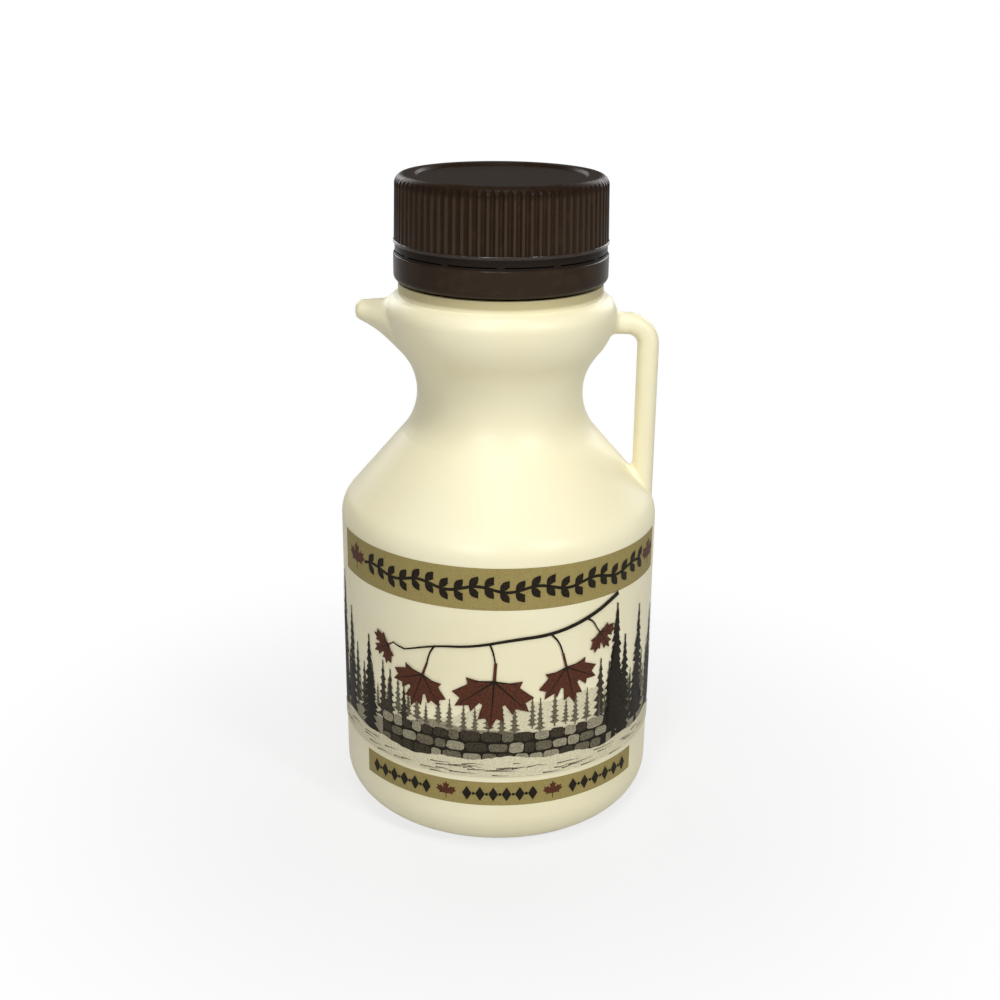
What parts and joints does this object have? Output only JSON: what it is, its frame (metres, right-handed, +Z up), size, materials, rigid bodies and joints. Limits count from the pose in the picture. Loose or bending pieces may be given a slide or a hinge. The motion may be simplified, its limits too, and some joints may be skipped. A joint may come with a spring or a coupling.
{
  "type": "maple syrup jug",
  "caption": "Cream half-pint plastic maple syrup jug with a pour spout, a small loop handle, printed bands and a dark brown ribbed tamper-evident screw cap, shut and full.",
  "frame": {"origin": "centre of the base, on the jug's axis, at the surface it stands on", "axes": "+Z up along the axis, towards the cap; +X towards the loop handle, with the pour spout at -X; -Y out of the front of the print"},
  "size_m": [0.064, 0.064, 0.1293],
  "materials": {
    "cream_plastic": "blow-moulded polyethylene with a soft sheen",
    "brown_plastic": "injection-moulded, dark brown, low gloss"
  },
  "bodies": {
    "root": {"jug": "cream_plastic", "cap": "brown_plastic"}
  },
  "joints": []
}
